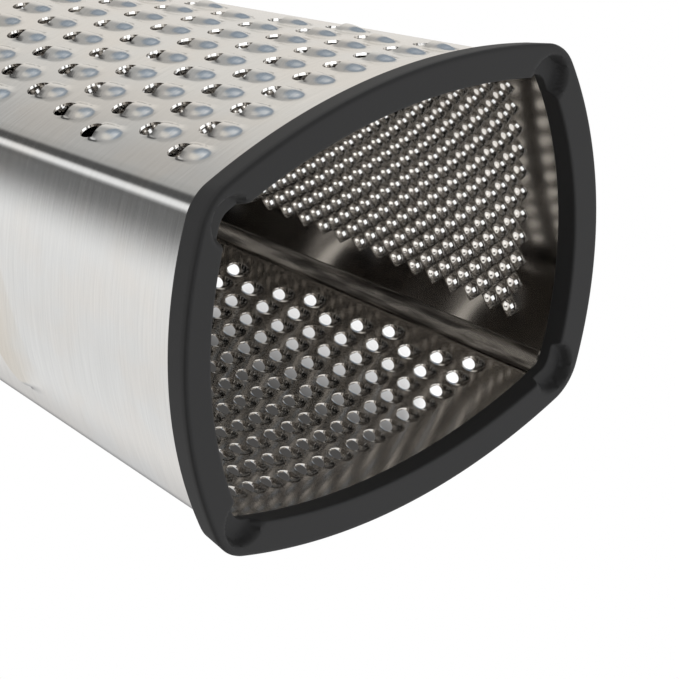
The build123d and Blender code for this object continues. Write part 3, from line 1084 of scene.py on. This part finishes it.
class GRATER_OT_foot_ring(bpy.types.Operator):
    """Silicone ring with a scoop at each inner corner"""

    bl_idname = "grater.foot_ring"
    bl_label = "Foot ring"

    def execute(self, context):
        foot, inset = context.scene.grater_foot, context.scene.grater_body.inset
        profile = foot_profile(foot)
        skin = foot_skin()
        side_x, side_y, corner = skin.corner(0)
        offset = (corner - foot.land) * math.sqrt(0.5)
        scoops = Vector((side_x + offset, side_y + offset))
        around = ring_steps(foot)
        bm = grid(around, len(profile))
        for vert in bm.verts:
            step = round((vert.co.x + 0.5) * around) % around
            inside, height = profile[round((vert.co.y + 0.5) * len(profile)) % len(profile)]
            place = ring_place(skin, foot, step, -inside)
            away = math.hypot(abs(place.x) - scoops.x, abs(place.y) - scoops.y)
            if inside > inset or height < foot.edge / 2:
                lift = foot.scoop_depth * smooth((foot.scoop - away) / foot.scoop_wall)
                height += lift * max(0.0, 1 - height / foot.lip_height)
            vert.co = Vector((place.x, place.y, height))
        weld(bm)
        bmesh.ops.recalc_face_normals(bm, faces=bm.faces[:])
        sharpen(bm, 50)
        tint = context.scene.grater_finishes.silicone
        rubber = moulded("silicone", tint, 0.55, gloss=0.14, grain=2600.0, relief=0.12)
        add_piece("silicone_ring", bm, [rubber], "foot_ring")
        return {"FINISHED"}


class GRATER_OT_fittings(bpy.types.Operator):
    """Finishes of the cap, the handle, its grip, the rivets and the screws"""

    bl_idname = "grater.fittings"
    bl_label = "Cap, handle and fixings"

    def execute(self, context):
        tints = context.scene.grater_finishes
        plastic = moulded("moulded_plastic", tints.plastic, 0.42, gloss=0.4, grain=1900.0, relief=0.1)
        grip = moulded("soft_grip", tints.grip, 0.6, gloss=0.3, grain=2400.0, relief=0.25)
        steel = sheet_finishes()[0]
        looks = {"top_cap": plastic, "handle_frame": plastic, "handle_grip": grip}
        for name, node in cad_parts.items():
            if name in ("grater_body", "foot_ring"):
                continue
            node.data.materials.clear()
            node.data.materials.append(looks.get(name, steel))
        return {"FINISHED"}


class GRATER_OT_studio(bpy.types.Operator):
    """Camera, floor, lamps and surroundings"""

    bl_idname = "grater.studio"
    bl_label = "Studio"

    def execute(self, context):
        studio = context.scene.grater_studio
        add_camera(studio)
        add_floor(studio)
        add_lamps()
        add_world()
        context.scene.view_settings.view_transform = "Standard"
        return {"FINISHED"}


# Distances at which the camera starts and stops seeing
CLIP = (0.05, 50)
# Lamps that all look at the target: name, place, side, power
LAMP_TARGET = Vector((0.0, 0.0, 0.1))
LAMPS = (
    ("key", (-0.9, -1.2, 1.3), 1.0, 16),
    ("fill", (1.3, -0.4, 1.0), 1.0, 8),
    ("low", (0.7, 0.6, -1.2), 0.9, 12),
)


def picture_ways(studio):
    """The picture's ways right, down and ahead."""
    ahead, down = Vector(studio.camera_ahead), Vector(studio.camera_down)
    return down.cross(ahead).normalized(), down, ahead


def add_camera(studio):
    right, down, ahead = picture_ways(studio)
    axes = Matrix((right, -down, -ahead)).transposed().to_4x4()
    camera = add_object("camera", bpy.data.cameras.new("camera"))
    camera.matrix_world = Matrix.Translation(studio.camera_place) @ axes
    camera.data.lens = studio.lens
    camera.data.shift_x, camera.data.shift_y = studio.shift_x, studio.shift_y
    camera.data.clip_start, camera.data.clip_end = CLIP
    bpy.context.scene.camera = camera


def add_floor(studio):
    """Pale floor that is seen only from above, with an opening under the foot."""
    foot, skin = bpy.context.scene.grater_foot, foot_skin()
    bm = bmesh.new()
    bmesh.ops.create_circle(bm, cap_ends=False, segments=ring_steps(foot), radius=1.0)
    for step, vert in enumerate(bm.verts):
        vert.co = ring_place(skin, foot, step)
    for vert in extrude(bm, bm.edges[:]):
        vert.co = vert.co.normalized() * studio.floor_size / 2
    face_up(bm)
    material, kit = new_material("pale_floor")
    matte = kit.add("ShaderNodeBsdfDiffuse", None, {"Color": (*studio.floor_colour, 1)})
    clear = kit.add("ShaderNodeBsdfTransparent")
    behind = kit.add("ShaderNodeNewGeometry", output="Backfacing")
    kit.finish(kit.add("ShaderNodeMixShader", None, {0: behind, 1: matte, 2: clear}))
    floor = add_mesh("floor", bm, [material])


def add_lamps():
    for name, place, side, power in LAMPS:
        lamp = bpy.data.lights.new(name, "AREA")
        lamp.shape, lamp.size, lamp.size_y = "RECTANGLE", side, side
        lamp.energy = power
        holder = add_object(name, lamp)
        away = Vector(place) - LAMP_TARGET
        holder.matrix_world = Matrix.Translation(place) @ away.to_track_quat("Z", "Y").to_matrix().to_4x4()
        holder.visible_glossy = False


# Reflected studio by compass direction, from -X through -Y, +X and +Y back to -X: place, grey or colour
COMPASS_STOPS = (
    (0.00, 0.19),
    (0.014, 0.15),
    (0.045, 0.15),
    (0.07, 0.45),
    (0.092, 1.0),
    (0.125, 1.0),
    (0.16, (0.45, 0.445, 0.44)),
    (0.318, (0.47, 0.465, 0.45)),
    (0.35, (0.52, 0.51, 0.495)),
    (0.38, (0.72, 0.70, 0.67)),
    (0.42, (0.84, 0.81, 0.765)),
    (0.55, (0.84, 0.81, 0.77)),
    (0.66, (0.30, 0.30, 0.31)),
    (0.78, 0.90),
    (0.86, 0.86),
    (0.935, 0.92),
    (0.957, 0.98),
    (0.972, 0.80),
    (0.987, 0.46),
    (1.00, 0.21),
)
# Reflected studio from the floor's edge up to the high cards: place, grey or colour
HORIZON_STOPS = (
    (0.0, 0.80),
    (0.30, 0.78),
    (0.48, 1.0),
    (0.76, 1.0),
    (0.81, (0.68, 0.72, 0.77)),
    (0.88, (0.36, 0.42, 0.49)),
    (1.0, (0.22, 0.27, 0.33)),
)
# Heights between which the horizon's band lies, and the softness of its lower and upper edge
HORIZON, SOFTNESS = (-0.3, 0.60), (0.036, 0.012)
# Dark card that the corners mirror: compass edges of its two soft sides, heights of its soft foot, shade
CARD_SIDES = ((0.135, 0.168), (0.225, 0.268))
CARD_FOOT = (0.712, 0.732)
CARD = 0.085
# Cream card beside the slicing wall, in place of the horizon, and how far it fades about x = 0
CREAM = (0.80, 0.77, 0.72)
CREAM_FADE = 0.2
# White below the horizon, and boxes and cards in it: way, cosine of half their spread, strength
BELOW = 1.7
LOW_BOXES = (
    ((-0.55, -0.05, -0.83), 0.94, 2.6),
    ((0.10, 0.35, -0.93), 0.985, 0.25),
    ((-0.63, -0.44, -0.64), 0.985, 0.15),
)
LOW_BOX_FADE = 0.006
# Light from below and from above, and how far they fade into each other about z = 0
LIGHT_BELOW, LIGHT_ABOVE = 0.25, 0.6
LIGHT_FADE = 0.4
# Painted shadow on the backdrop, a soft grey seen behind the lower wall: picture place of its middle, radii
# of its edge and reach of its fade in pixels, way in which it lightens, and its darkest shade
SHADE_PLACE = (290.0, 400.0)
SHADE_RADII = (112.0, 140.0)
SHADE_FADE = (-10.0, 120.0)
SHADE_WAY = (0.475, -0.88)
SHADE_DARKEST = (0.07, 0.068, 0.066)
# Width of the picture in pixels, and of the camera's sensor in millimetres
PICTURE = 679
SENSOR = 36.0


def seen_behind(kit, way):
    """White for the camera, with a painted soft grey shadow beyond the lower wall's holes."""
    studio = bpy.context.scene.grater_studio
    right, down, _ = picture_ways(studio)
    pixels = PICTURE * studio.lens / SENSOR
    across = kit.dot(way, right * pixels) - (SHADE_PLACE[0] - PICTURE / 2)
    fall = kit.dot(way, down * pixels) - (SHADE_PLACE[1] - PICTURE / 2)
    distance = (across * across + fall * fall) ** 0.5
    lightness = kit.step(across * SHADE_WAY[0] + fall * SHADE_WAY[1], *SHADE_FADE)
    shade = kit.blend(lightness, rgba(SHADE_DARKEST), WHITE)
    return kit.blend(kit.step(distance, *SHADE_RADII), shade, WHITE)


def mirrored_studio(kit, way, x, y, z):
    """Boxes and cards that the steel mirrors: below, round the horizon and high up."""
    compass = kit.calculate("ARCTAN2", y, x) / (2 * math.pi) + 0.5
    card = kit.step(compass, *CARD_SIDES[0]) * (1 - kit.step(compass, *CARD_SIDES[1]))
    card = card * kit.step(z, *CARD_FOOT)
    high = kit.blend(card, kit.ramp(compass, COMPASS_STOPS), rgba(CARD))
    horizon = kit.ramp((z - HORIZON[0]) / (HORIZON[1] - HORIZON[0]), HORIZON_STOPS)
    horizon = kit.blend(kit.edge(x, 0.0, CREAM_FADE), rgba(CREAM), horizon)
    low = rgba(BELOW)
    for toward, spread, strength in LOW_BOXES:
        facing = kit.dot(way, Vector(toward).normalized())
        low = kit.blend(kit.edge(facing, spread, LOW_BOX_FADE), low, rgba(strength))
    upper = kit.blend(kit.edge(z, HORIZON[1], SOFTNESS[1]), horizon, high)
    return kit.blend(kit.edge(z, HORIZON[0], SOFTNESS[0]), low, upper)


def add_world():
    """White to the camera, two soft greys as light, and a studio of boxes and cards to mirrors."""
    world = bpy.data.worlds.new("studio")
    world.use_nodes = True
    bpy.context.scene.world = world
    kit = Kit(world.node_tree)
    way = kit.add("ShaderNodeTexCoord", output="Generated")
    x, y, z = [kit.add("ShaderNodeSeparateXYZ", None, {0: way}, axis) for axis in range(3)]
    seen = kit.add("ShaderNodeLightPath", output="Is Camera Ray")
    mirrored = kit.add("ShaderNodeLightPath", output="Is Glossy Ray")
    light = kit.blend(kit.edge(z, 0.0, LIGHT_FADE), rgba(LIGHT_BELOW), rgba(LIGHT_ABOVE))
    unseen = kit.blend(mirrored, light, mirrored_studio(kit, way, x, y, z))
    shade = kit.blend(seen, unseen, seen_behind(kit, way))
    background = kit.add("ShaderNodeBackground", None, {"Color": shade, "Strength": 1.0})
    kit.add("ShaderNodeOutputWorld", None, {"Surface": background})


class GRATER_PT_panel(bpy.types.Panel):
    """Buttons for the grater's pieces"""

    bl_idname = "GRATER_PT_panel"
    bl_label = "Grater"
    bl_space_type = "VIEW_3D"
    bl_region_type = "UI"
    bl_category = "Grater"

    def draw(self, context):
        for operator in PIECES:
            self.layout.operator(operator.bl_idname)


PIECES = (
    GRATER_OT_studio,
    GRATER_OT_front_wall,
    GRATER_OT_left_wall,
    GRATER_OT_back_wall,
    GRATER_OT_right_wall,
    GRATER_OT_corners,
    GRATER_OT_foot_ring,
    GRATER_OT_fittings,
)


def register():
    for group in (*GROUPS.values(), *PIECES, GRATER_PT_panel):
        bpy.utils.register_class(group)
    for name, group in GROUPS.items():
        setattr(bpy.types.Scene, name, PointerProperty(type=group))


def unregister():
    for name in GROUPS:
        delattr(bpy.types.Scene, name)
    for group in (GRATER_PT_panel, *reversed(PIECES), *reversed(GROUPS.values())):
        bpy.utils.unregister_class(group)


def main():
    register()
    for operator in PIECES:
        group, name = operator.bl_idname.split(".")
        getattr(getattr(bpy.ops, group), name)()


if __name__ == "__main__":
    main()
